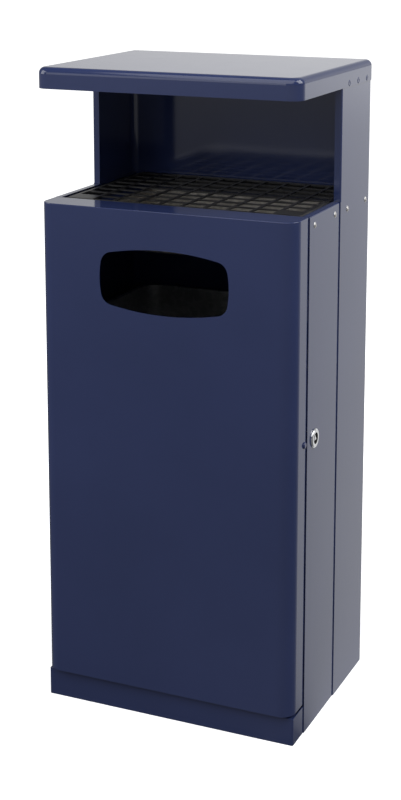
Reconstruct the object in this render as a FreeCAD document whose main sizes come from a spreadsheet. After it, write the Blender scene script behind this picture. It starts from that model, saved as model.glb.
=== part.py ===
import FreeCAD, Part
import math
import os
import Sketcher

# Outdoor waste bin with a rain hood, a hinged door and an ash grid.
# Millimetres, +Z up, the front faces -Y, origin on the floor under the middle of the bin.

doc = FreeCAD.newDocument("waste_bin")
sheet = doc.addObject("Spreadsheet::Sheet", "Sizes")

# Driving dimensions
SIZES = {
    # whole bin
    "width": 380.0,
    "depth": 300.0,
    "height": 910.0,
    "steel": 1.2,
    "bend": 1.0,
    "seat": 0.3,
    "slip": 0.05,
    # hood
    "hood_lip": 29.0,
    "hood_corner": 19.0,
    "hood_edge": 9.0,
    # rear column
    "column_depth": 131.5,
    "column_corner": 10.3,
    "column_return": 10.0,
    "column_drop": 9.5,
    # side panels
    "open_height": 185.0,
    "panel_front": 49.0,
    "panel_flange": 10.0,
    "panel_back": 10.5,
    # plinth and floor pan
    "plinth_height": 39.0,
    "plinth_recess": 9.0,
    "plinth_ledge": 16.0,
    "floor_plate": 2.0,
    "floor_rim": 20.0,
    "anchor_bore": 11.0,
    "anchor_inset": 18.4,
    "anchor_pitch": 120.0,
    # door
    "door_inset": 2.7,
    "door_corner": 20.0,
    "door_bottom": 43.0,
    "door_seam": 1.4,
    "door_edge": 1.0,
    "notch_depth": 23.0,
    "notch_height": 6.0,
    # posting aperture
    "aperture_drop": 96.5,
    "aperture_width": 190.0,
    "aperture_height": 89.0,
    "aperture_bow": 8.0,
    "aperture_side_bow": 2.0,
    "aperture_corner": 14.0,
    "aperture_round": 17.7,
    # hinges
    "hinge_in": 5.0,
    "hinge_back": 12.0,
    "hinge_low": 130.0,
    "hinge_drop": 165.0,
    "hinge_plate": 3.0,
    "leaf_length": 27.0,
    "leaf_height": 27.0,
    "pin_margin": 6.0,
    "bracket_reach": 9.0,
    "tab_front": 13.5,
    "tab_round": 3.0,
    "pin_radius": 2.5,
    "pin_head": 3.2,
    # lock
    "lock_height": 417.0,
    "lock_back": 27.0,
    "lock_flange": 13.3,
    "lock_proud": 2.5,
    "lock_round": 1.9,
    "lock_barrel": 9.0,
    "lock_well": 7.8,
    "lock_well_depth": 12.0,
    "lock_length": 22.0,
    "lock_nut": 13.0,
    "lock_nut_thick": 4.0,
    "shaft_radius": 4.0,
    "cam_length": 33.0,
    "cam_width": 10.0,
    "cam_thick": 2.5,
    "cam_nut": 6.0,
    "cam_nut_thick": 4.0,
    "key_side": 8.5,
    "key_recess": 0.9,
    "key_disc": 3.0,
    # strike
    "strike_plate": 2.0,
    "strike_clear": 2.0,
    "strike_margin": 12.5,
    "strike_height": 46.0,
    "strike_lift": 4.0,
    "strike_rivet": 4.5,
    "strike_dome": 2.2,
    "strike_round": 1.8,
    # shelf, tray and grid
    "shelf_drop": 18.0,
    "shelf_setback": 3.0,
    "shelf_flange": 14.0,
    "shelf_lip": 20.0,
    "rivet_drop": 14.0,
    "rivet_margin": 19.0,
    "rivet_behind": 29.0,
    "rivet_rear": 23.5,
    "rivet_shank": 2.0,
    "rivet_tail": 2.9,
    "rivet_head": 4.5,
    "rivet_dome": 1.8,
    "tray_width": 268.0,
    "tray_front": 33.0,
    "tray_back": 43.0,
    "tray_deep": 57.5,
    "tray_sheet": 1.2,
    "tray_rim": 8.0,
    "tray_corner": 12.0,
    "tray_round": 5.0,
    "grid_plate": 2.0,
    "grid_fold": 3.0,
    "grid_gap": 14.5,
    "grid_bar": 4.0,
    "grid_front": 4.0,
    "grid_back": 13.0,
    "grid_side": 7.0,
    # liner
    "liner_gap": 3.2,
    "liner_front_gap": 10.0,
    "liner_back_gap": 33.0,
    "liner_headroom": 91.5,
    "liner_wall": 1.0,
    "liner_rim": 5.0,
    "liner_rim_round": 2.2,
    "liner_round": 6.0,
    "liner_corner": 25.0,
    "grip_width": 90.0,
    "grip_height": 28.0,
    "grip_drop": 40.0,
}
GRID_COLUMNS = 10
GRID_ROWS = 8
NEAR = 1e-4

for row, (alias, number) in enumerate(SIZES.items(), start=1):
    sheet.set("A%d" % row, alias)
    sheet.set("B%d" % row, str(number))
    sheet.setAlias("B%d" % row, alias)
doc.recompute()


class Size:
    """A length with its value and the sheet expression that drives it."""

    def __init__(self, text, value):
        self.text = text
        self.value = value

    def join(self, other, sign, value):
        return Size("(%s %s %s)" % (self.text, sign, other.text), value)

    def __add__(self, other):
        other = as_size(other)
        return self.join(other, "+", self.value + other.value)

    def __sub__(self, other):
        other = as_size(other)
        return self.join(other, "-", self.value - other.value)

    def __mul__(self, other):
        other = as_size(other)
        return self.join(other, "*", self.value * other.value)

    def __truediv__(self, other):
        other = as_size(other)
        return self.join(other, "/", self.value / other.value)

    def __neg__(self):
        return Size("(0 - %s)" % self.text, -self.value)


def as_size(number):
    return number if isinstance(number, Size) else Size(repr(float(number)), float(number))


def size(alias):
    return Size("Sizes.%s" % alias, float(sheet.get(alias)))


def new_body(label):
    body = doc.addObject("PartDesign::Body", label)
    body.Label = label
    return body


def new_sketch(body, plane, offset=0.0):
    """A sketch on one of the body's own origin planes, moved along that plane's normal."""
    sketch = body.newObject("Sketcher::SketchObject", body.Name + "_sketch")
    support = [item for item in body.Origin.OriginFeatures if item.Role == plane][0]
    sketch.AttachmentSupport = (support, "")
    sketch.MapMode = "FlatFace"
    sketch.setExpression("AttachmentOffset.Base.z", as_size(offset).text)
    return sketch


def drive(sketch, dimensions):
    """Adds driven dimensions (kind, geometry, point, length) and binds each to its expression."""
    constraints = []
    for kind, geometry, point, length in dimensions:
        if kind == "Radius":
            constraints.append(Sketcher.Constraint(kind, geometry, length.value))
        else:
            constraints.append(Sketcher.Constraint(kind, -1, 1, geometry, point, length.value))
    for index, dimension in zip(sketch.addConstraint(constraints), dimensions):
        sketch.setExpression("Constraints[%d]" % index, dimension[3].text)


def vector(point):
    return FreeCAD.Vector(as_size(point[0]).value, as_size(point[1]).value, 0)


def arc_through(start, end, radius, bulge):
    """The shorter arc between two points, bulging to the left (+1) or right (-1) of the way there."""
    middle = (start + end) * 0.5
    along = end - start
    normal = FreeCAD.Vector(-along.y, along.x, 0)
    normal.normalize()
    half = along.Length / 2
    sagitta = radius - math.sqrt(max(radius * radius - half * half, 0.0))
    return Part.Arc(start, middle + normal * (bulge * sagitta), end)


def outline(sketch, points):
    """A closed outline. A point is (x, y), or (x, y, radius, bulge) where an arc leaves it."""
    first = sketch.GeometryCount
    count = len(points)
    geometry = []
    swapped = []
    for index, point in enumerate(points):
        start = vector(point)
        end = vector(points[(index + 1) % count])
        bulge = point[3] if len(point) == 4 else 0
        swapped.append(bulge > 0)
        if bulge:
            geometry.append(arc_through(start, end, as_size(point[2]).value, bulge))
        else:
            geometry.append(Part.LineSegment(start, end))
    sketch.addGeometry(geometry)
    joints = []
    dimensions = []
    for index, point in enumerate(points):
        here = first + index
        after = (index + 1) % count
        leave = 1 if swapped[index] else 2
        enter = 2 if swapped[after] else 1
        joints.append(Sketcher.Constraint("Coincident", here, leave, first + after, enter))
        begin = 3 - leave
        dimensions.append(("DistanceX", here, begin, as_size(point[0])))
        dimensions.append(("DistanceY", here, begin, as_size(point[1])))
        if len(point) == 4:
            dimensions.append(("Radius", here, 0, as_size(point[2])))
    sketch.addConstraint(joints)
    drive(sketch, dimensions)


def rectangle(sketch, left, right, low, high):
    outline(sketch, [(left, low), (right, low), (right, high), (left, high)])


def rounded(sketch, left, right, low, high, radius):
    """A rectangle with four corner arcs, drawn anticlockwise."""
    left, right, low, high = [as_size(item) for item in (left, right, low, high)]
    outline(sketch, [
        (left + radius, low),
        (right - radius, low, radius, -1),
        (right, low + radius),
        (right, high - radius, radius, -1),
        (right - radius, high),
        (left + radius, high, radius, -1),
        (left, high - radius),
        (left, low + radius, radius, -1),
    ])


def circle(sketch, x, y, radius):
    normal = FreeCAD.Vector(0, 0, 1)
    index = sketch.addGeometry(Part.Circle(vector((x, y)), normal, as_size(radius).value))
    drive(sketch, [
        ("DistanceX", index, 3, as_size(x)),
        ("DistanceY", index, 3, as_size(y)),
        ("Radius", index, 0, as_size(radius)),
    ])


def polygon(sketch, x, y, radius, count, first_turn=0.0):
    """A regular polygon by its corner radius, with its first corner at an angle in degrees."""
    turns = [math.radians(first_turn + 360 * step / count) for step in range(count)]
    outline(sketch, [(x + radius * math.cos(turn), y + radius * math.sin(turn)) for turn in turns])


def square(sketch, x, y, half):
    rectangle(sketch, x - half, x + half, y - half, y + half)


def pad(body, sketch, length):
    feature = body.newObject("PartDesign::Pad", body.Name + "_pad")
    feature.Profile = sketch
    feature.setExpression("Length", as_size(length).text)
    doc.recompute()
    return feature


def pocket(body, sketch, depth=None, reverse=False):
    """A cut into the body, right through both ways if no depth is given. It has to take something away."""
    before = body.Shape.Volume
    feature = body.newObject("PartDesign::Pocket", body.Name + "_pocket")
    feature.Profile = sketch
    feature.Reversed = reverse
    if depth is None:
        feature.Type = "ThroughAll"
        feature.SideType = "Symmetric"
    else:
        feature.setExpression("Length", as_size(depth).text)
    doc.recompute()
    if body.Shape.Volume > before - NEAR:
        raise RuntimeError("a cut in %s takes nothing away" % body.Label)
    return feature


def round_edges(body, base, radius, wanted):
    """Fillets the edges of a feature that pass the test."""
    names = ["Edge%d" % (i + 1) for i, edge in enumerate(base.Shape.Edges) if wanted(edge)]
    feature = body.newObject("PartDesign::Fillet", body.Name + "_fillet")
    feature.Base = (base, names)
    feature.setExpression("Radius", as_size(radius).text)
    doc.recompute()
    return feature


def shell(body, base, open_level, wall):
    """Hollows a feature to one wall thickness, open at the flat face that lies at one height."""
    level = as_size(open_level).value
    names = ["Face%d" % (i + 1) for i, face in enumerate(base.Shape.Faces)
             if lies_at(face.BoundBox.ZMin, face.BoundBox.ZMax, level)]
    feature = body.newObject("PartDesign::Thickness", body.Name + "_shell")
    feature.Base = (base, names)
    feature.Reversed = True
    feature.setExpression("Value", as_size(wall).text)
    doc.recompute()
    return feature


def spread(body, feature, steps):
    """Repeats a feature along X and Y: steps are (axis role, count, pitch)."""
    multi = body.newObject("PartDesign::MultiTransform", body.Name + "_spread")
    multi.Originals = [feature]
    patterns = []
    for role, count, pitch in steps:
        line = body.newObject("PartDesign::LinearPattern", body.Name + "_row")
        axis = [item for item in body.Origin.OriginFeatures if item.Role == role][0]
        line.Direction = (axis, [""])
        line.Occurrences = count
        line.setExpression("Length", (pitch * (count - 1)).text)
        patterns.append(line)
    multi.Transformations = patterns
    body.Tip = multi
    doc.recompute()
    return multi


def lies_at(low, high, place):
    """Whether an extent is flat and at one place."""
    return high - low < NEAR and abs(low - place) < NEAR


def edge_level(z):
    """A test for edges that lie flat at one height."""
    level = as_size(z).value
    return lambda edge: lies_at(edge.BoundBox.ZMin, edge.BoundBox.ZMax, level)


def edge_across(x):
    """A test for edges that lie in one plane across X."""
    place = as_size(x).value
    return lambda edge: lies_at(edge.BoundBox.XMin, edge.BoundBox.XMax, place)


def edge_upright(y):
    """A test for upright edges at one depth."""
    place = as_size(y).value
    return lambda edge: (edge.BoundBox.XLength < NEAR
                         and lies_at(edge.BoundBox.YMin, edge.BoundBox.YMax, place))


# Shared sizes, worked out once
width, depth, height = size("width"), size("depth"), size("height")
steel, bend, seat, slip = size("steel"), size("bend"), size("seat"), size("slip")
half_width = width / 2
front = -depth / 2
hood_back = depth / 2
back = hood_back - steel
column_inside = half_width - steel
panel_inside = column_inside - steel
panel_start = front + size("panel_front")
panel_end = back - size("panel_back")
panel_top = height - size("open_height")
column_start = back - size("column_depth")
inside_back = back - steel
door_half = half_width - size("door_inset")
door_end = panel_start - size("door_seam")
door_inside = door_half - steel
plinth_front = front + size("plinth_recess")
shelf_top = panel_top - size("shelf_drop")
shelf_front = panel_start + size("shelf_setback")
rivet_level = panel_top - size("rivet_drop")
panel_rivets = [panel_start + size("rivet_margin"), column_start - size("rivet_margin")]
column_rivets = [column_start + size("rivet_behind"), back - size("rivet_rear")]
rivet_hole = size("rivet_shank") + slip
tray_half = size("tray_width") / 2
tray_front = shelf_front + size("tray_front")
tray_back = inside_back - size("tray_back")
tray_bottom = shelf_top - size("tray_deep")
hinge_x = -door_half + size("hinge_in")
hinge_y = door_end - size("hinge_back")
hinge_low = size("hinge_low")
hinge_high = panel_top - size("hinge_drop")
pin_hole = size("pin_radius") + slip
lock_y = panel_start + size("lock_back")
lock_z = size("lock_height")
strike_inner = door_inside - size("strike_plate") - size("strike_clear")
strike_rivet_y = door_end - size("strike_rivet") - size("strike_clear")
barrel_end = column_inside - size("lock_length")
lock_face = column_inside + size("lock_proud")
well_floor = lock_face - size("lock_well_depth")
cam_outer = barrel_end - seat
cam_inner = cam_outer - size("cam_thick")
stud_end = cam_inner - size("cam_nut_thick") - steel
square_half = size("shaft_radius") * math.sqrt(0.5)
outer_bend = bend + steel
rear_corner = size("column_corner") + steel


def make_hood():
    """A pressed cover, open below, that laps over the column."""
    body = new_body("hood")
    lip = size("hood_lip")
    outside = half_width + steel
    corner = size("hood_corner")
    plan = new_sketch(body, "XY_Plane", height - lip)
    outline(plan, [
        (-outside + corner, front),
        (outside - corner, front, corner, -1),
        (outside, front + corner),
        (outside, hood_back - rear_corner, rear_corner, -1),
        (outside - rear_corner, hood_back),
        (-outside + rear_corner, hood_back, rear_corner, -1),
        (-outside, hood_back - rear_corner),
        (-outside, front + corner, corner, -1),
    ])
    block = pad(body, plan, lip)
    top = round_edges(body, block, size("hood_edge"), edge_level(height))
    shell(body, top, height - lip, steel)
    return body


def make_rear_column():
    """A sheet folded to a U, from the floor to the hood."""
    body = new_body("rear_column")
    corner = size("column_corner")
    inner = corner - steel
    fold = column_start + outer_bend
    returned = column_start + steel
    reach = half_width - size("column_return")
    joint = panel_top + seat
    outside = [
        (half_width, back - corner, corner, -1),
        (half_width - corner, back),
        (-half_width + corner, back, corner, -1),
        (-half_width, back - corner),
    ]
    inside = [
        (-column_inside, inside_back - inner, inner, 1),
        (-column_inside + inner, inside_back),
        (column_inside - inner, inside_back, inner, 1),
        (column_inside, inside_back - inner),
    ]
    # plain front edges beside the cabinet
    low = new_sketch(body, "XY_Plane")
    outline(low, [
        (half_width, column_start),
        *outside,
        (-half_width, column_start),
        (-column_inside, column_start),
        *inside,
        (column_inside, column_start),
    ])
    pad(body, low, joint)
    # inward returns stiffen the front edges where the column stands open
    high = new_sketch(body, "XY_Plane", joint)
    outline(high, [
        (half_width, fold),
        *outside,
        (-half_width, fold, outer_bend, -1),
        (-half_width + outer_bend, column_start),
        (-reach, column_start),
        (-reach, returned),
        (-half_width + outer_bend, returned, bend, 1),
        (-column_inside, fold),
        *inside,
        (column_inside, fold, bend, 1),
        (half_width - outer_bend, returned),
        (reach, returned),
        (reach, column_start),
        (half_width - outer_bend, column_start, outer_bend, -1),
    ])
    pad(body, high, height - size("column_drop") - joint)
    # the two rear rivets of each side
    holes = new_sketch(body, "YZ_Plane")
    for place in column_rivets:
        circle(holes, place, rivet_level, rivet_hole)
    pocket(body, holes)
    return body


def make_side_panel(label, side):
    """A fixed side sheet with an inward flange along its top."""
    body = new_body(label)
    flange_end = panel_inside - size("panel_flange") + steel
    section = new_sketch(body, "XZ_Plane", -panel_end)
    outline(section, [
        (column_inside * side, 0.0),
        (column_inside * side, panel_top - outer_bend, outer_bend, -side),
        ((column_inside - outer_bend) * side, panel_top),
        (flange_end * side, panel_top),
        (flange_end * side, panel_top - steel),
        ((panel_inside - bend) * side, panel_top - steel, bend, side),
        (panel_inside * side, panel_top - steel - bend),
        (panel_inside * side, 0.0),
    ])
    pad(body, section, panel_end - panel_start)
    holes = new_sketch(body, "YZ_Plane")
    for place in panel_rivets + column_rivets:
        circle(holes, place, rivet_level, rivet_hole)
    if side > 0:
        circle(holes, lock_y, lock_z, size("lock_barrel") + slip)
    pocket(body, holes)
    return body


def make_plinth():
    """A folded sheet under the door, with a ledge along its top."""
    body = new_body("plinth")
    outer = panel_inside
    inner = outer - steel
    ledge = size("plinth_ledge")
    plan = new_sketch(body, "XY_Plane")
    outline(plan, [
        (-outer + outer_bend, plinth_front),
        (outer - outer_bend, plinth_front, outer_bend, -1),
        (outer, plinth_front + outer_bend),
        (outer, panel_end),
        (inner, panel_end),
        (inner, plinth_front + outer_bend, bend, 1),
        (outer - outer_bend, plinth_front + steel),
        (-outer + outer_bend, plinth_front + steel, bend, 1),
        (-inner, plinth_front + outer_bend),
        (-inner, panel_end),
        (-outer, panel_end),
        (-outer, plinth_front + outer_bend, outer_bend, -1),
    ])
    pad(body, plan, size("plinth_height"))
    top = new_sketch(body, "XY_Plane", size("plinth_height") - steel)
    rectangle(top, -outer + outer_bend, outer - outer_bend, plinth_front + bend, plinth_front + ledge)
    pad(body, top, steel)
    return body


def pan_plan(half, low, high):
    """A rectangle whose corners are cut to clear the bends of the plinth and the column."""
    return [
        (-half + outer_bend, low),
        (half - outer_bend, low),
        (half, low + outer_bend),
        (half, high - rear_corner),
        (half - rear_corner, high),
        (-half + rear_corner, high),
        (-half, high - rear_corner),
        (-half, low + outer_bend),
    ]


def make_floor_pan():
    """The base, with an upright rim and four anchor holes."""
    body = new_body("floor_pan")
    outer = panel_inside - steel
    inner = outer - steel
    low = plinth_front + steel
    base = new_sketch(body, "XY_Plane")
    outline(base, pan_plan(outer, low, inside_back))
    pad(body, base, size("floor_plate"))
    rim = new_sketch(body, "XY_Plane", size("floor_plate"))
    outline(rim, pan_plan(outer, low, inside_back))
    outline(rim, pan_plan(inner, low + steel, inside_back - steel))
    pad(body, rim, size("floor_rim") - size("floor_plate"))
    anchors = new_sketch(body, "XY_Plane")
    anchor_x = outer - size("anchor_inset")
    anchor_y = size("anchor_pitch") / 2
    for x in (-anchor_x, anchor_x):
        for y in (-anchor_y, anchor_y):
            circle(anchors, x, y, size("anchor_bore") / 2)
    pocket(body, anchors)
    return body


def make_ash_shelf():
    """The riveted sheet that carries the ash tray and the grid."""
    body = new_body("ash_shelf")
    outer = panel_inside
    inner = outer - steel
    low = shelf_top - steel
    flange_top = shelf_top + size("shelf_flange")
    section = new_sketch(body, "XZ_Plane", -inside_back)
    outline(section, [
        (-outer + outer_bend, low),
        (outer - outer_bend, low, outer_bend, -1),
        (outer, low + outer_bend),
        (outer, flange_top),
        (inner, flange_top),
        (inner, low + outer_bend, bend, 1),
        (outer - outer_bend, shelf_top),
        (-outer + outer_bend, shelf_top, bend, 1),
        (-inner, low + outer_bend),
        (-inner, flange_top),
        (-outer, flange_top),
        (-outer, low + outer_bend, outer_bend, -1),
    ])
    pad(body, section, inside_back - shelf_front)
    lip = new_sketch(body, "XY_Plane", low - size("shelf_lip"))
    rectangle(lip, -outer, outer, shelf_front, shelf_front + steel)
    pad(body, lip, size("shelf_lip") + steel)
    # the rear corners are relieved for the bends of the column
    relief = new_sketch(body, "XY_Plane", low)
    for side in (-1, 1):
        rectangle(relief, (outer - rear_corner) * side, (outer + rear_corner) * side,
                  inside_back - rear_corner, inside_back + rear_corner)
    pocket(body, relief)
    mouth = new_sketch(body, "XY_Plane", low)
    play = size("tray_sheet") + seat
    rounded(mouth, -tray_half - play, tray_half + play, tray_front - play, tray_back + play,
            size("tray_corner"))
    pocket(body, mouth)
    holes = new_sketch(body, "YZ_Plane")
    for place in panel_rivets + column_rivets:
        circle(holes, place, rivet_level, rivet_hole)
    pocket(body, holes)
    return body


def make_ash_tray():
    """A drawn tray that hangs on the shelf by its rim."""
    body = new_body("ash_tray")
    thick = size("tray_sheet")
    rim = size("tray_rim")
    corner = size("tray_corner")
    outside = new_sketch(body, "XY_Plane", tray_bottom)
    rounded(outside, -tray_half - thick, tray_half + thick, tray_front - thick, tray_back + thick, corner)
    block = pad(body, outside, size("tray_deep"))
    drawn = round_edges(body, block, size("tray_round"), edge_level(tray_bottom))
    shell(body, drawn, shelf_top, thick)
    flange = new_sketch(body, "XY_Plane", shelf_top)
    rounded(flange, -tray_half - rim, tray_half + rim, tray_front - rim, tray_back + rim,
            corner + rim - thick)
    rounded(flange, -tray_half, tray_half, tray_front, tray_back, corner - thick)
    pad(body, flange, thick)
    return body


def make_ash_grid():
    """A punched plate with folded edges that stand on the shelf."""
    body = new_body("ash_grid")
    thick = size("grid_plate")
    bar = size("grid_bar")
    half = half_width - steel - size("grid_gap")
    low = shelf_front
    high = inside_back - thick
    top = panel_top - seat
    plan = new_sketch(body, "XY_Plane", shelf_top)
    rectangle(plan, -half, half, low, high)
    block = pad(body, plan, top - shelf_top)
    folded = round_edges(body, block, size("grid_fold"), edge_level(top))
    shell(body, folded, shelf_top, thick)
    first_x = -half + size("grid_side")
    first_y = low + size("grid_front")
    hole_x = (half * 2 - size("grid_side") * 2 - bar * (GRID_COLUMNS - 1)) / GRID_COLUMNS
    hole_y = (high - low - size("grid_front") - size("grid_back") - bar * (GRID_ROWS - 1)) / GRID_ROWS
    pitch_x = hole_x + bar
    pitch_y = hole_y + bar
    # the front row has no corner windows
    near = new_sketch(body, "XY_Plane", top)
    rectangle(near, first_x + pitch_x, first_x + pitch_x + hole_x, first_y, first_y + hole_y)
    spread(body, pocket(body, near, thick), [("X_Axis", GRID_COLUMNS - 2, pitch_x)])
    rest = new_sketch(body, "XY_Plane", top)
    rectangle(rest, first_x, first_x + hole_x, first_y + pitch_y, first_y + pitch_y + hole_y)
    spread(body, pocket(body, rest, thick), [
        ("X_Axis", GRID_COLUMNS, pitch_x),
        ("Y_Axis", GRID_ROWS - 1, pitch_y),
    ])
    return body


def make_shelf_rivets(label, side):
    """Four domed rivets, each a solid of revolution about its own shank."""
    shank = size("rivet_shank").value
    head = size("rivet_head").value
    dome = size("rivet_dome").value
    tail_radius = size("rivet_tail").value
    tail = (panel_inside - steel).value
    solids = []
    for place in panel_rivets + column_rivets:
        face = column_inside.value if place in panel_rivets else half_width.value
        points = [
            FreeCAD.Vector(tail - dome, 0, 0),
            FreeCAD.Vector(tail - dome, 0, tail_radius),
            FreeCAD.Vector(tail, 0, tail_radius),
            FreeCAD.Vector(tail, 0, shank),
            FreeCAD.Vector(face, 0, shank),
            FreeCAD.Vector(face, 0, head),
        ]
        crown = FreeCAD.Vector(face + dome, 0, 0)
        radius = (head * head + dome * dome) / (2 * dome)
        half = math.asin(head / radius) / 2
        drop = radius * (1 - math.cos(half))
        middle = FreeCAD.Vector(face + dome - drop, 0, radius * math.sin(half))
        edges = [Part.LineSegment(a, b).toShape() for a, b in zip(points, points[1:])]
        edges.append(Part.Arc(points[-1], middle, crown).toShape())
        edges.append(Part.LineSegment(crown, points[0]).toShape())
        solid = Part.Face(Part.Wire(edges)).revolve(FreeCAD.Vector(), FreeCAD.Vector(1, 0, 0), 360)
        solid.translate(FreeCAD.Vector(0, place.value, rivet_level.value))
        if side < 0:
            solid = solid.mirror(FreeCAD.Vector(), FreeCAD.Vector(1, 0, 0))
        solids.append(solid)
    feature = doc.addObject("Part::Feature", label)
    feature.Label = label
    feature.Shape = Part.makeCompound(solids)
    return feature


def make_door_shell():
    """The door's front and returns in one bent sheet, with the posting aperture."""
    body = new_body("door_shell")
    corner = size("door_corner")
    inner = corner - steel
    top = panel_top - steel
    plan = new_sketch(body, "XY_Plane", size("door_bottom"))
    outline(plan, [
        (-door_half, door_end),
        (-door_half, front + corner, corner, -1),
        (-door_half + corner, front),
        (door_half - corner, front, corner, -1),
        (door_half, front + corner),
        (door_half, door_end),
        (door_inside, door_end),
        (door_inside, front + corner, inner, 1),
        (door_half - corner, front + steel),
        (-door_half + corner, front + steel, inner, 1),
        (-door_inside, front + corner),
        (-door_inside, door_end),
    ])
    pad(body, plan, top - size("door_bottom"))
    # posting aperture with bowed edges
    middle = panel_top - size("aperture_drop")
    wide = size("aperture_width") / 2
    tall = size("aperture_height") / 2
    bow = size("aperture_bow")
    side_bow = size("aperture_side_bow")
    inset = size("aperture_corner")
    corner_radius = size("aperture_round")
    flat_x = wide - side_bow
    flat_y = tall - bow
    long_radius = ((flat_x - inset) * (flat_x - inset) + bow * bow) / (bow * 2)
    short_radius = ((flat_y - inset) * (flat_y - inset) + side_bow * side_bow) / (side_bow * 2)
    mouth = new_sketch(body, "XZ_Plane", -front)
    outline(mouth, [
        (-flat_x + inset, middle - flat_y, long_radius, -1),
        (flat_x - inset, middle - flat_y, corner_radius, -1),
        (flat_x, middle - flat_y + inset, short_radius, -1),
        (flat_x, middle + flat_y - inset, corner_radius, -1),
        (flat_x - inset, middle + flat_y, long_radius, -1),
        (-flat_x + inset, middle + flat_y, corner_radius, -1),
        (-flat_x, middle + flat_y - inset, short_radius, -1),
        (-flat_x, middle - flat_y + inset, corner_radius, -1),
    ])
    pocket(body, mouth, steel * 2)
    # notches in the hinge-side return let the hinge brackets through
    notches = new_sketch(body, "YZ_Plane", -door_half)
    for level in (hinge_low, hinge_high):
        middle_z = level + size("hinge_plate") / 2
        half = size("notch_height") / 2
        rectangle(notches, door_end - size("notch_depth"), door_end + steel,
                  middle_z - half, middle_z + half)
    pocket(body, notches, steel, reverse=True)
    # hole of the strike rivet in the lock-side return
    hole = new_sketch(body, "YZ_Plane", door_half)
    circle(hole, strike_rivet_y, lock_z, rivet_hole)
    pocket(body, hole, steel)
    return body


def make_door_cap(label, low, rounded_top):
    """A flat sheet over the door's whole plan, or inside its shell."""
    body = new_body(label)
    corner = size("door_corner")
    inset = as_size(0.0) if rounded_top else steel
    plan = new_sketch(body, "XY_Plane", low)
    outline(plan, [
        (-door_half + inset, door_end),
        (-door_half + inset, front + corner, corner - inset, -1),
        (-door_half + corner, front + inset),
        (door_half - corner, front + inset, corner - inset, -1),
        (door_half - inset, front + corner),
        (door_half - inset, door_end),
    ])
    block = pad(body, plan, steel)
    if rounded_top:
        flat = edge_level(low + steel)
        rear = door_end.value
        round_edges(body, block, size("door_edge"),
                    lambda edge: flat(edge) and edge.BoundBox.YMin < rear - NEAR)
    return body


def make_hinge_bracket(label, level):
    """Cabinet side: a leaf on the side panel and a tab that carries the pin."""
    body = new_body(label)
    plate = size("hinge_plate")
    near = hinge_y - size("pin_margin")
    far = panel_start + size("leaf_length")
    tab = new_sketch(body, "XY_Plane", level)
    rectangle(tab, -door_half + seat, hinge_x + size("bracket_reach"), near, far)
    blank = pad(body, tab, plate)
    round_edges(body, blank, size("tab_round"), edge_upright(near))
    leaf = new_sketch(body, "XY_Plane", level + plate - size("leaf_height"))
    rectangle(leaf, -panel_inside, -panel_inside + plate, panel_start + plate, far)
    pad(body, leaf, size("leaf_height"))
    bore = new_sketch(body, "XY_Plane", level)
    circle(bore, hinge_x, hinge_y, pin_hole)
    pocket(body, bore)
    return body


def make_hinge_tab(label, level):
    """Door side: a tab welded to the return, turning on the pin above the bracket."""
    body = new_body(label)
    plate = size("hinge_plate")
    low = level + plate + seat
    tab = new_sketch(body, "XY_Plane", low)
    rectangle(tab, -door_inside, hinge_x + size("pin_margin"),
              hinge_y - size("tab_front"), hinge_y + size("pin_margin"))
    pad(body, tab, plate)
    bore = new_sketch(body, "XY_Plane", low)
    circle(bore, hinge_x, hinge_y, pin_hole)
    pocket(body, bore)
    return body


def make_hinge_pin(label, level):
    """A headed pin, seated in the bracket, that the door's tab turns on."""
    body = new_body(label)
    plate = size("hinge_plate")
    head_low = level + plate * 2 + seat * 2
    shank = new_sketch(body, "XY_Plane", level - plate)
    circle(shank, hinge_x, hinge_y, size("pin_radius"))
    pad(body, shank, head_low - level + plate)
    head = new_sketch(body, "XY_Plane", head_low)
    circle(head, hinge_x, hinge_y, size("pin_head"))
    pad(body, head, plate)
    return body


def make_lock_body():
    """The fixed part of the lock: a barrel through the panel and a rounded escutcheon with a key well."""
    body = new_body("lock_body")
    barrel = new_sketch(body, "YZ_Plane", barrel_end)
    circle(barrel, lock_y, lock_z, size("lock_barrel"))
    pad(body, barrel, size("lock_length"))
    flange = new_sketch(body, "YZ_Plane", column_inside)
    circle(flange, lock_y, lock_z, size("lock_flange"))
    escutcheon = pad(body, flange, size("lock_proud"))
    round_edges(body, escutcheon, size("lock_round"), edge_across(lock_face))
    well = new_sketch(body, "YZ_Plane", well_floor)
    circle(well, lock_y, lock_z, size("lock_well"))
    pocket(body, well, size("lock_well_depth") + steel, reverse=True)
    bore = new_sketch(body, "YZ_Plane", barrel_end)
    circle(bore, lock_y, lock_z, size("shaft_radius") + slip)
    pocket(body, bore)
    return body


def make_lock_nut():
    """Holds the barrel from inside the panel."""
    body = new_body("lock_nut")
    nut = new_sketch(body, "YZ_Plane", panel_inside - size("lock_nut_thick"))
    polygon(nut, lock_y, lock_z, size("lock_nut"), 6)
    circle(nut, lock_y, lock_z, size("lock_barrel") + slip)
    pad(body, nut, size("lock_nut_thick"))
    return body


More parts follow.
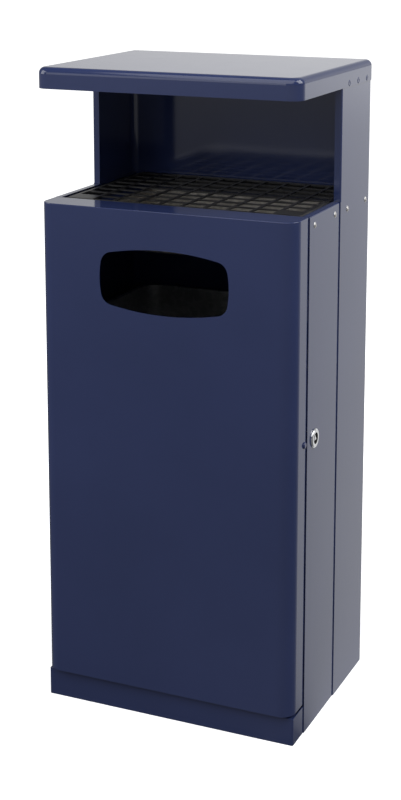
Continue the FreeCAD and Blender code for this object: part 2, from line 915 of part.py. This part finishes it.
def make_lock_insert():
    """The turning core: a triangular key post, a disc in the well, a shaft, a square and a stud."""
    body = new_body("lock_insert")
    disc_low = well_floor + seat
    disc_top = disc_low + size("key_disc")
    disc = new_sketch(body, "YZ_Plane", disc_low)
    circle(disc, lock_y, lock_z, size("lock_well") - slip * 2)
    pad(body, disc, size("key_disc"))
    post = new_sketch(body, "YZ_Plane", disc_top)
    polygon(post, lock_y, lock_z, size("key_side") / math.sqrt(3.0), 3, 90.0)
    pad(body, post, lock_face - size("key_recess") - disc_top)
    shaft = new_sketch(body, "YZ_Plane", cam_outer)
    circle(shaft, lock_y, lock_z, size("shaft_radius"))
    pad(body, shaft, disc_low - cam_outer)
    stem = new_sketch(body, "YZ_Plane", cam_inner)
    square(stem, lock_y, lock_z, square_half)
    pad(body, stem, size("cam_thick"))
    stud = new_sketch(body, "YZ_Plane", stud_end)
    circle(stud, lock_y, lock_z, square_half)
    pad(body, stud, cam_inner - stud_end)
    return body


def make_lock_cam():
    """Points forward when unlocked, and up in front of the strike's tab when locked."""
    body = new_body("lock_cam")
    half = size("cam_width") / 2
    plan = new_sketch(body, "YZ_Plane", cam_inner)
    outline(plan, [
        (lock_y, lock_z + half),
        (lock_y - size("cam_length"), lock_z + half),
        (lock_y - size("cam_length"), lock_z - half),
        (lock_y, lock_z - half, half, -1),
        (lock_y + half, lock_z, half, -1),
    ])
    square(plan, lock_y, lock_z, square_half + slip)
    pad(body, plan, size("cam_thick"))
    return body


def make_lock_cam_nut():
    """Holds the cam on the core's stud."""
    body = new_body("lock_cam_nut")
    nut = new_sketch(body, "YZ_Plane", cam_inner - size("cam_nut_thick"))
    polygon(nut, lock_y, lock_z, size("cam_nut"), 6)
    circle(nut, lock_y, lock_z, square_half + slip)
    pad(body, nut, size("cam_nut_thick"))
    return body


def make_door_strike():
    """A plate on the door's return, with an arm into the cabinet and a tab behind the turned cam."""
    body = new_body("door_strike")
    plate = size("strike_plate")
    margin = size("strike_margin")
    low = lock_z - margin
    high = low + size("strike_height")
    arm_low = lock_z + size("lock_nut") + size("strike_lift")
    tab_front = lock_y + size("cam_width") / 2 + steel
    base = new_sketch(body, "YZ_Plane", strike_inner)
    rectangle(base, strike_rivet_y - margin, door_end - steel, low, high)
    pad(body, base, door_inside - strike_inner)
    arm = new_sketch(body, "YZ_Plane", strike_inner)
    rectangle(arm, door_end - margin, tab_front + plate, arm_low, high)
    pad(body, arm, plate)
    tab = new_sketch(body, "YZ_Plane", cam_inner - steel)
    rectangle(tab, tab_front, tab_front + plate, arm_low, high)
    pad(body, tab, strike_inner - cam_inner + steel)
    hole = new_sketch(body, "YZ_Plane", door_inside)
    circle(hole, strike_rivet_y, lock_z, rivet_hole)
    pocket(body, hole, door_inside - strike_inner)
    return body


def make_strike_rivet():
    """The round head on the door's return that holds the strike."""
    body = new_body("strike_rivet")
    dome = size("strike_dome")
    upset = size("rivet_dome")
    stem = new_sketch(body, "YZ_Plane", strike_inner - upset)
    circle(stem, strike_rivet_y, lock_z, size("rivet_shank"))
    pad(body, stem, door_half - strike_inner + upset + dome)
    head = new_sketch(body, "YZ_Plane", door_half)
    circle(head, strike_rivet_y, lock_z, size("strike_rivet"))
    disc = pad(body, head, dome)
    round_edges(body, disc, size("strike_round"), edge_across(door_half + dome))
    tail = new_sketch(body, "YZ_Plane", strike_inner - upset)
    circle(tail, strike_rivet_y, lock_z, size("rivet_tail"))
    pad(body, tail, upset)
    return body


def make_inner_liner():
    """The lift-out liner, with a rolled rim and grip holes."""
    body = new_body("inner_liner")
    wall = size("liner_wall")
    rim = size("liner_rim")
    corner = size("liner_corner")
    half = stud_end - size("liner_gap") - rim
    low = panel_start + size("liner_front_gap")
    high = inside_back - size("liner_back_gap")
    floor = size("floor_plate")
    top = tray_bottom - size("liner_headroom")
    plan = new_sketch(body, "XY_Plane", floor)
    rounded(plan, -half, half, low, high, corner)
    block = pad(body, plan, top - floor)
    drawn = round_edges(body, block, size("liner_round"), edge_level(floor))
    shell(body, drawn, top, wall)
    roll = new_sketch(body, "XY_Plane", top - rim)
    rounded(roll, -half - rim, half + rim, low - rim, high + rim, corner + rim)
    rounded(roll, -half + wall, half - wall, low + wall, high - wall, corner - wall)
    ring = pad(body, roll, rim)
    round_edges(body, ring, size("liner_rim_round"), edge_level(top))
    # grip holes in both side walls
    grips = new_sketch(body, "YZ_Plane")
    middle = (low + high) / 2
    grip_top = top - size("grip_drop")
    grip_half = size("grip_width") / 2
    grip_round = size("grip_height") / 2 - slip
    rounded(grips, middle - grip_half, middle + grip_half, grip_top - size("grip_height"), grip_top,
            grip_round)
    pocket(body, grips)
    return body


PIECES = [
    make_hood(),
    make_rear_column(),
    make_side_panel("left_side_panel", -1),
    make_side_panel("right_side_panel", 1),
    make_plinth(),
    make_floor_pan(),
    make_ash_shelf(),
    make_shelf_rivets("left_shelf_rivets", -1),
    make_shelf_rivets("right_shelf_rivets", 1),
    make_ash_tray(),
    make_ash_grid(),
    make_inner_liner(),
    make_hinge_bracket("lower_hinge_bracket", hinge_low),
    make_hinge_bracket("upper_hinge_bracket", hinge_high),
    make_hinge_pin("lower_hinge_pin", hinge_low),
    make_hinge_pin("upper_hinge_pin", hinge_high),
    make_hinge_tab("lower_hinge_tab", hinge_low),
    make_hinge_tab("upper_hinge_tab", hinge_high),
    make_door_shell(),
    make_door_cap("door_top_cap", panel_top - steel, True),
    make_door_cap("door_bottom_cap", size("door_bottom"), False),
    make_door_strike(),
    make_strike_rivet(),
    make_lock_body(),
    make_lock_nut(),
    make_lock_insert(),
    make_lock_cam(),
    make_lock_cam_nut(),
]

# Every object has to have come out sound before anything is written
doc.recompute()
for item in doc.Objects:
    if "Invalid" in item.State or "Error" in item.State:
        raise RuntimeError("%s failed: %s" % (item.Label, item.State))
for piece in PIECES:
    if piece.Shape.isNull() or not piece.Shape.isValid():
        raise RuntimeError("%s has no sound shape" % piece.Label)

os.makedirs("parts", exist_ok=True)
for piece in PIECES:
    piece.Shape.exportStep("parts/%s.step" % piece.Label)
    box = piece.Shape.BoundBox
    print("%-22s solids %d  volume %10.1f  x %7.2f %7.2f  y %7.2f %7.2f  z %7.2f %7.2f" % (
        piece.Label, len(piece.Shape.Solids), piece.Shape.Volume,
        box.XMin, box.XMax, box.YMin, box.YMax, box.ZMin, box.ZMax))
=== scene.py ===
import math

import bmesh
import bpy
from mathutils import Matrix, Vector


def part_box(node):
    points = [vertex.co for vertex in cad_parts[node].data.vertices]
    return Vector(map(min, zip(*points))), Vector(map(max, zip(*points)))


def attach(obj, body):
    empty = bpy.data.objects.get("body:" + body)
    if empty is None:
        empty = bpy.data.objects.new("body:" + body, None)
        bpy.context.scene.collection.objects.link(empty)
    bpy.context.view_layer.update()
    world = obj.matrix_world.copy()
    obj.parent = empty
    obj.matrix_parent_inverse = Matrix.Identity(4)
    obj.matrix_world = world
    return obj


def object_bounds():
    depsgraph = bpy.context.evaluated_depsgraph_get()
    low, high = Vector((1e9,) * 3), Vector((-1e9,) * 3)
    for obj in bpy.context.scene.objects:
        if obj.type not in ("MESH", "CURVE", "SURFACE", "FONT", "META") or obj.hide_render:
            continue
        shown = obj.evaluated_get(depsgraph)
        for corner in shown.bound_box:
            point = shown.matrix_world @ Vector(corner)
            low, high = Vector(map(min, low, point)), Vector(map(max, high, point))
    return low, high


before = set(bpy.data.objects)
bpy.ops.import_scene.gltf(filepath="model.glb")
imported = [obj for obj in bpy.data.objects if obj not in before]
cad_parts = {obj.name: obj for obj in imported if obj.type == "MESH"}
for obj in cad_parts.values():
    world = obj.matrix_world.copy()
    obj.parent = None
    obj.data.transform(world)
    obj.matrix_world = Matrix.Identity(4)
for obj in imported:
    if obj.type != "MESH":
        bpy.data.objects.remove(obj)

first_lo, first_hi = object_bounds()

# Which finish each CAD node has
FINISHES = {
    "blue_paint": [
        "hood", "rear_column", "left_side_panel", "right_side_panel", "plinth", "floor_pan",
        "ash_shelf", "door_shell", "door_top_cap", "door_bottom_cap", "strike_rivet",
    ],
    "bright_rivet": ["left_shelf_rivets", "right_shelf_rivets"],
    "galvanised_sheet": ["inner_liner"],
    "zinc_hardware": [
        "lower_hinge_bracket", "upper_hinge_bracket", "lower_hinge_pin", "upper_hinge_pin",
        "lower_hinge_tab", "upper_hinge_tab", "door_strike", "lock_nut", "lock_cam", "lock_cam_nut",
    ],
    "ash_tray_sheet": ["ash_tray"],
    "dark_grid_steel": ["ash_grid"],
    "lock_chrome": ["lock_body"],
    "key_post_chrome": ["lock_insert"],
}


# --- Node helpers -------------------------------------------------------------------------------

def add(tree, kind, inputs=None, **settings):
    """A node with its settings; an input is either a constant or another node's output."""
    made = tree.nodes.new(kind)
    for name, value in settings.items():
        setattr(made, name, value)
    for name, value in (inputs or {}).items():
        if isinstance(value, bpy.types.NodeSocket):
            tree.links.new(value, made.inputs[name])
        else:
            made.inputs[name].default_value = value
    return made


def calc(tree, operation, first, second):
    """The result of a Math node."""
    return add(tree, "ShaderNodeMath", {0: first, 1: second}, operation=operation).outputs[0]


def vector_calc(tree, operation, *vectors):
    """The result of a Vector Math node, a number for a length or a dot product."""
    made = add(tree, "ShaderNodeVectorMath", dict(enumerate(vectors)), operation=operation)
    return made.outputs["Value" if operation in ("LENGTH", "DOT_PRODUCT") else "Vector"]


def new_material(name):
    made = bpy.data.materials.new(name)
    made.use_nodes = True
    made.node_tree.nodes.clear()
    return made, made.node_tree


def end_with(tree, shader):
    add(tree, "ShaderNodeOutputMaterial", {"Surface": shader.outputs[0]})


def ramp(tree, factor, stops):
    """A colour ramp from (place, colour) stops."""
    made = add(tree, "ShaderNodeValToRGB", {"Fac": factor})
    elements = made.color_ramp.elements
    while len(elements) < len(stops):
        elements.new(0.5)
    for element, (place, colour) in zip(elements, stops):
        element.position = place
        element.color = (*colour, 1.0)
    return made.outputs["Color"]


def spread(tree, factor, low, high):
    """Maps a 0 to 1 value onto a range."""
    made = add(tree, "ShaderNodeMapRange", {"Value": factor, "To Min": low, "To Max": high})
    return made.outputs["Result"]


def noise(tree, where, scale, detail=2.0):
    made = add(tree, "ShaderNodeTexNoise", {"Vector": where, "Scale": scale, "Detail": detail})
    return made.outputs["Fac"]


def bump(tree, height, strength, distance):
    made = add(tree, "ShaderNodeBump", {
        "Height": height, "Strength": strength, "Distance": distance,
    })
    return made.outputs["Normal"]


def object_point(tree):
    return add(tree, "ShaderNodeTexCoord").outputs["Object"]


# --- Finishes -----------------------------------------------------------------------------------

# The lock's key well, blackened as painted shade in the recess, and the chrome post that stands in
# it, in metres
KEY_WELL_RADIUS = 0.0079
KEY_POST_LENGTH = 0.0077


def blue_paint():
    """Glossy dark blue powder coat with a faint orange peel."""
    made, tree = new_material("blue_paint")
    where = object_point(tree)
    mottle = noise(tree, where, scale=5.0, detail=4.0)
    gloss = noise(tree, where, scale=22.0)
    peel = noise(tree, where, scale=420.0)
    shader = add(tree, "ShaderNodeBsdfPrincipled", {
        "Base Color": ramp(tree, mottle, [
            (0.30, (0.0205, 0.0310, 0.0940)),
            (0.70, (0.0245, 0.0360, 0.1075)),
        ]),
        "Roughness": spread(tree, gloss, low=0.06, high=0.12),
        "IOR": 1.5,
        "Normal": bump(tree, peel, strength=0.05, distance=0.0006),
    })
    end_with(tree, shader)
    return made


def spangled(name, low, high, roughness):
    """Bare zinc-coated sheet with the crystal pattern of hot dipping."""
    made, tree = new_material(name)
    where = object_point(tree)
    crystals = add(tree, "ShaderNodeTexVoronoi", {"Vector": where, "Scale": 170.0})
    tone = add(tree, "ShaderNodeRGBToBW", {"Color": crystals.outputs["Color"]}).outputs["Val"]
    grain = noise(tree, where, scale=160.0, detail=3.0)
    shader = add(tree, "ShaderNodeBsdfPrincipled", {
        "Base Color": ramp(tree, tone, [(0.2, low), (0.8, high)]),
        "Metallic": 1.0,
        "Roughness": spread(tree, tone, roughness - 0.07, roughness + 0.07),
        "Normal": bump(tree, grain, strength=0.08, distance=0.0006),
    })
    end_with(tree, shader)
    return made


def plated(name, low, high, roughness):
    """Bare plated hardware with fine handling marks."""
    made, tree = new_material(name)
    marks = noise(tree, object_point(tree), scale=240.0, detail=4.0)
    shader = add(tree, "ShaderNodeBsdfPrincipled", {
        "Base Color": ramp(tree, marks, [(0.3, low), (0.7, high)]),
        "Metallic": 1.0,
        "Roughness": spread(tree, marks, roughness - 0.05, roughness + 0.08),
        "Normal": bump(tree, marks, strength=0.06, distance=0.0003),
    })
    end_with(tree, shader)
    return made


def dark_grid_steel():
    """Dark coated plate, rubbed lighter in places by stubbed cigarettes."""
    made, tree = new_material("dark_grid_steel")
    where = object_point(tree)
    rubbed = noise(tree, where, scale=45.0, detail=6.0)
    grain = noise(tree, where, scale=500.0)
    shader = add(tree, "ShaderNodeBsdfPrincipled", {
        "Base Color": ramp(tree, rubbed, [
            (0.35, (0.010, 0.010, 0.011)),
            (0.75, (0.028, 0.027, 0.028)),
        ]),
        "Roughness": spread(tree, rubbed, low=0.32, high=0.5),
        "IOR": 1.45,
        "Normal": bump(tree, grain, strength=0.08, distance=0.0004),
    })
    end_with(tree, shader)
    return made


def local_box(node):
    """Lowest and highest corner of a node's mesh in its own coordinates."""
    corners = [Vector(corner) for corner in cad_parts[node].bound_box]
    low = Vector([min(corner[axis] for corner in corners) for axis in range(3)])
    high = Vector([max(corner[axis] for corner in corners) for axis in range(3)])
    return low, high


def chrome_with_painted_shade(name, mask_of):
    """Chrome plate with painted shade: blackened where the mask is 1."""
    made, tree = new_material(name)
    where = object_point(tree)
    marks = noise(tree, where, scale=300.0, detail=4.0)
    mask = mask_of(tree, where)
    chrome = ramp(tree, marks, [(0.3, (0.66, 0.67, 0.69)), (0.7, (0.78, 0.79, 0.80))])
    # Painted shade: near black colour where the mask marks the shaded recess
    well_shade = ramp(tree, marks, [(0.3, (0.006, 0.006, 0.006)), (0.7, (0.014, 0.013, 0.012))])
    smooth = spread(tree, marks, low=0.08, high=0.18)
    dull = spread(tree, marks, low=0.5, high=0.7)
    # A Mix node's inputs by number: 0 factor, 2 and 3 the values, 6 and 7 the colours.
    # Of its outputs, 0 is the mixed value and 2 the mixed colour.
    colours = add(tree, "ShaderNodeMix", {0: mask, 6: chrome, 7: well_shade}, data_type="RGBA")
    values = add(tree, "ShaderNodeMix", {0: mask, 2: smooth, 3: dull}, data_type="FLOAT")
    shader = add(tree, "ShaderNodeBsdfPrincipled", {
        "Base Color": colours.outputs[2],
        "Metallic": spread(tree, mask, low=1.0, high=0.0),
        "Roughness": values.outputs[0],
        "Normal": bump(tree, marks, strength=0.05, distance=0.0002),
    })
    end_with(tree, shader)
    return made


def lock_chrome():
    """The escutcheon: chrome outside, with painted shade darkening the key well."""
    low, high = local_box("lock_body")
    middle = (low + high) / 2

    # Painted shade: the key well inside this radius is blackened
    def in_shaded_well(tree, where):
        spoke = vector_calc(tree, "SUBTRACT", where, middle)
        across_axis = vector_calc(tree, "MULTIPLY", spoke, (0.0, 1.0, 1.0))
        return calc(tree, "LESS_THAN", vector_calc(tree, "LENGTH", across_axis), KEY_WELL_RADIUS)

    return chrome_with_painted_shade("lock_chrome", in_shaded_well)


def key_post_chrome():
    """The turning core: a chrome post on a disc blackened as painted shade in the well."""
    tip = local_box("lock_insert")[1].x

    # Painted shade: the insert below the post's length is blackened
    def shaded_below_post(tree, where):
        along_axis = add(tree, "ShaderNodeSeparateXYZ", {"Vector": where}).outputs["X"]
        return calc(tree, "LESS_THAN", along_axis, tip - KEY_POST_LENGTH)

    return chrome_with_painted_shade("key_post_chrome", shaded_below_post)


# Bare metals: maker, darkest and lightest colour, roughness
BARE_METALS = {
    "bright_rivet": (plated, (0.50, 0.49, 0.48), (0.62, 0.61, 0.60), 0.45),
    "galvanised_sheet": (spangled, (0.37, 0.38, 0.39), (0.48, 0.49, 0.50), 0.42),
    "ash_tray_sheet": (spangled, (0.45, 0.43, 0.40), (0.55, 0.53, 0.50), 0.45),
    "zinc_hardware": (plated, (0.46, 0.46, 0.45), (0.60, 0.60, 0.58), 0.32),
}
OTHER_MAKERS = {
    "blue_paint": blue_paint,
    "dark_grid_steel": dark_grid_steel,
    "lock_chrome": lock_chrome,
    "key_post_chrome": key_post_chrome,
}


def make_finish(finish):
    if finish in BARE_METALS:
        maker, low, high, roughness = BARE_METALS[finish]
        return maker(finish, low, high, roughness)
    return OTHER_MAKERS[finish]()


materials = {}
for finish, nodes in FINISHES.items():
    materials[finish] = make_finish(finish)
    for node in nodes:
        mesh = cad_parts[node].data
        mesh.materials.clear()
        mesh.materials.append(materials[finish])


# --- Spot welds on the hood's flange ------------------------------------------------------------

# Places along Y, height over the flange's lip, and the (radius, height) rings of one mark
WELD_PLACES = (0.044, 0.082, 0.120)
WELD_ABOVE_LIP = 0.0048
WELD_PROFILE = (
    (0.0045, 0.0), (0.0040, 0.0004), (0.0033, 0.00055), (0.0025, 0.0004), (0.0014, 0.0001),
)
WELD_SIDES = 28


def weld_mark(mesh, centre, outward):
    """One shallow ringed dimple, turned round an axis along X."""
    rings = []
    for radius, proud in WELD_PROFILE:
        ring = []
        for step in range(WELD_SIDES):
            turn = 2 * math.pi * step / WELD_SIDES
            offset = Vector((outward * proud, radius * math.cos(turn), radius * math.sin(turn)))
            ring.append(mesh.verts.new(centre + offset))
        rings.append(ring)
    for outer, inner in zip(rings, rings[1:]):
        for step in range(WELD_SIDES):
            after = (step + 1) % WELD_SIDES
            corners = [outer[step], outer[after], inner[after], inner[step]]
            mesh.faces.new(corners if outward > 0 else corners[::-1])
    mesh.faces.new(rings[-1] if outward > 0 else rings[-1][::-1])


def hood_welds():
    low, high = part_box("hood")
    mesh = bmesh.new()
    for outward, side in ((1, high.x), (-1, low.x)):
        for place in WELD_PLACES:
            weld_mark(mesh, Vector((side, place, low.z + WELD_ABOVE_LIP)), outward)
    for face in mesh.faces:
        face.smooth = True
    data = bpy.data.meshes.new("hood_weld_marks")
    mesh.to_mesh(data)
    mesh.free()
    piece = bpy.data.objects.new("hood_weld_marks", data)
    bpy.context.scene.collection.objects.link(piece)
    data.materials.append(materials["blue_paint"])
    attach(piece, "cabinet")


hood_welds()


# --- Floor and walls ----------------------------------------------------------------------------

WHITE = (1.0, 1.0, 1.0, 1.0)

# The studio is bright in a wedge behind the bin: (cosine of the angle to its middle, level)
BRIGHT_SIDE = (0.0, 1.0, 0.0)
STUDIO_GLOW = [
    (-1.0, 0.24), (0.0, 0.15), (0.6, 0.16), (0.8, 0.36), (0.88, 0.58), (0.94, 0.64), (1.0, 0.68),
]
# Share of the camera's white background in mirrored rays, by the same cosine
BACKDROP = [(0.88, 0.0), (0.97, 0.22)]
# The walls darken from low to top between these two heights of view, given as sines
WALL_FADE = (0.16, 0.34)
WALL_LOW = 1.24
WALL_TOP = 0.7
# The bright wedge on the floor starts under the bin
FLOOR_MIDDLE = (0.15, -0.14, 0.0)
# Both by the distance from the bin: the strength of the floor's glow, and the light that
# whitens the floor for the camera and leaves the shadow round the bin's foot
FLOOR_REACH = [(1.5, 1.0), (6.2, 1.65), (8.5, 2.3)]
FLOOR_LIFT = [(0.3, 0.50), (0.8, 0.72), (1.7, 1.0)]
FLOOR_COLOUR = (0.9, 0.9, 0.9, 1.0)
FLOOR_WIDTH = 120.0


def level_along(tree, value, stops):
    """A grey level that follows a value through (value, level) stops."""
    first, last = stops[0][0], stops[-1][0]
    share = add(tree, "ShaderNodeMapRange", {"Value": value, "From Min": first, "From Max": last})
    places = [((place - first) / (last - first), (level, level, level)) for place, level in stops]
    return ramp(tree, share.outputs["Result"], places)


def turn_from_bright(tree, toward):
    """Cosine of the angle between a direction and the bright side, seen from above."""
    flat = vector_calc(tree, "MULTIPLY", toward, (1.0, 1.0, 0.0))
    return vector_calc(tree, "DOT_PRODUCT", vector_calc(tree, "NORMALIZE", flat), BRIGHT_SIDE)


def by_ray(tree, behind, room, background):
    """The background for the camera's rays and, by the share behind, for mirrored rays.

    All other rays see the room.
    """
    rays = add(tree, "ShaderNodeLightPath").outputs
    mirrored = calc(tree, "MAXIMUM", rays["Is Glossy Ray"], rays["Is Transmission Ray"])
    mirrored_behind = calc(tree, "MULTIPLY", mirrored, behind)
    return add(tree, "ShaderNodeMixShader", {
        0: calc(tree, "MAXIMUM", rays["Is Camera Ray"], mirrored_behind),
        1: room.outputs[0],
        2: background.outputs[0],
    })


def pale_floor():
    made, tree = new_material("pale_floor")
    place = add(tree, "ShaderNodeNewGeometry").outputs["Position"]
    away = vector_calc(tree, "LENGTH", place)
    turn = turn_from_bright(tree, vector_calc(tree, "SUBTRACT", place, FLOOR_MIDDLE))
    ground = add(tree, "ShaderNodeBsdfDiffuse", {"Color": FLOOR_COLOUR})
    lift = add(tree, "ShaderNodeEmission", {
        "Color": level_along(tree, away, FLOOR_LIFT), "Strength": 1.0,
    })
    background = add(tree, "ShaderNodeAddShader", {0: ground.outputs[0], 1: lift.outputs[0]})
    room = add(tree, "ShaderNodeEmission", {
        "Color": level_along(tree, turn, STUDIO_GLOW),
        "Strength": level_along(tree, away, FLOOR_REACH),
    })
    end_with(tree, by_ray(tree, level_along(tree, turn, BACKDROP), room, background))
    return made


def up_the_wall(tree, upward, low, top):
    """A value that goes from low to top over the wall's fade."""
    made = add(tree, "ShaderNodeMapRange", {
        "Value": upward, "From Min": WALL_FADE[0], "From Max": WALL_FADE[1],
        "To Min": low, "To Max": top,
    })
    return made.outputs["Result"]


def white_studio():
    made = bpy.data.worlds.new("white_studio")
    made.use_nodes = True
    tree = made.node_tree
    tree.nodes.clear()
    toward = add(tree, "ShaderNodeTexCoord").outputs["Generated"]
    upward = add(tree, "ShaderNodeSeparateXYZ", {"Vector": toward}).outputs["Z"]
    turn = turn_from_bright(tree, toward)
    room = add(tree, "ShaderNodeBackground", {
        "Color": level_along(tree, turn, STUDIO_GLOW),
        "Strength": up_the_wall(tree, upward, WALL_LOW, WALL_TOP),
    })
    low_wall = up_the_wall(tree, upward, 1.0, 0.0)
    behind = calc(tree, "MULTIPLY", level_along(tree, turn, BACKDROP), low_wall)
    background = add(tree, "ShaderNodeBackground", {"Color": WHITE, "Strength": 1.0})
    shown = by_ray(tree, behind, room, background)
    add(tree, "ShaderNodeOutputWorld", {"Surface": shown.outputs[0]})
    return made


bpy.ops.mesh.primitive_plane_add(size=FLOOR_WIDTH, location=(0.0, 0.0, first_lo.z))
floor = bpy.context.object
floor.name = "studio_floor"
floor.data.materials.append(pale_floor())

bpy.context.scene.world = white_studio()


# --- Lamps and camera ---------------------------------------------------------------------------

# Name, place, the point it is aimed at, width in metres, power in watts
SOFT_BOXES = [
    ("top_box", (0.2, -2.0, 3.4), (0.0, 0.0, 0.5), 3.8, 92.0),
    ("right_box", (2.4, 0.5, 2.6), (0.0, 0.0, 0.5), 2.2, 78.0),
    ("front_box", (-1.05, -2.5, 1.45), (0.0, 0.0, 0.8), 1.1, 5.0),
    ("left_box", (-2.7, -1.3, 1.75), (0.0, 0.0, 0.6), 2.0, 42.0),
]

# To the right of the bin's front and above it, looking down a little. The shift is the most that
# keeps the whole bin in the views from other angles.
CAMERA_PLACE = (0.8877, -2.0298, 1.1197)
CAMERA_YAW = math.radians(23.9)
CAMERA_PITCH = math.radians(10.3)
CAMERA_LENS = 72.16
CAMERA_SENSOR = 36.0
CAMERA_SHIFT = -0.25


def place_looking(name, data, place, forward):
    """An object in the scene that looks along a direction, as lamps and cameras do."""
    made = bpy.data.objects.new(name, data)
    made.location = place
    made.rotation_euler = forward.to_track_quat("-Z", "Y").to_euler()
    bpy.context.scene.collection.objects.link(made)
    return made


def soft_box(name, place, target, width, power):
    """A square area lamp aimed at a point."""
    lamp = bpy.data.lights.new(name, "AREA")
    lamp.size = width
    lamp.energy = power
    place_looking(name, lamp, place, Vector(target) - Vector(place))


def photo_camera():
    data = bpy.data.cameras.new("photo_camera")
    data.lens = CAMERA_LENS
    data.sensor_width = CAMERA_SENSOR
    data.shift_y = CAMERA_SHIFT
    level = math.cos(CAMERA_PITCH)
    forward = Vector((
        -math.sin(CAMERA_YAW) * level, math.cos(CAMERA_YAW) * level, -math.sin(CAMERA_PITCH),
    ))
    return place_looking("photo_camera", data, CAMERA_PLACE, forward)


for box in SOFT_BOXES:
    soft_box(*box)
bpy.context.scene.camera = photo_camera()

bpy.context.scene.view_settings.view_transform = "Standard"
